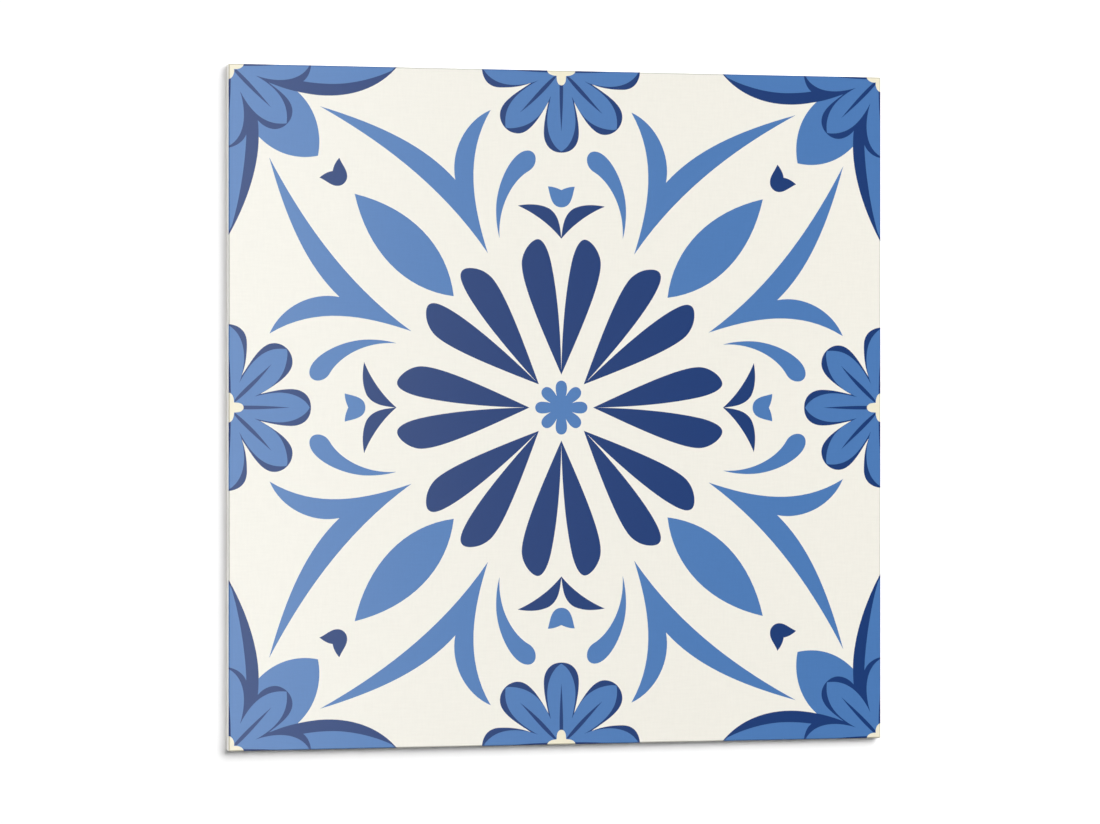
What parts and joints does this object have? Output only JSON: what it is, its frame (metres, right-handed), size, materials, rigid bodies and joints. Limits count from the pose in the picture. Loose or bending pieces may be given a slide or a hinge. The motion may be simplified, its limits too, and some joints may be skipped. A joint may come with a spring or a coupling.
{
  "type": "self-adhesive vinyl tile",
  "caption": "Square self-adhesive vinyl tile, lying flat, with a blue tile-pattern print on its face and a peel-off release liner on its back.",
  "frame": {"origin": "centre of the underside, on the release liner that the stored tile rests on", "axes": "+Z out of the printed face, +X to the right and +Y to the top of the pattern, along the tile's edges"},
  "size_m": [0.305, 0.305, 0.0041],
  "materials": {
    "printed_vinyl": "satin",
    "liner_paper": "satin"
  },
  "bodies": {
    "root": {"vinyl_tile": "printed_vinyl", "release_liner": "liner_paper"}
  },
  "joints": []
}
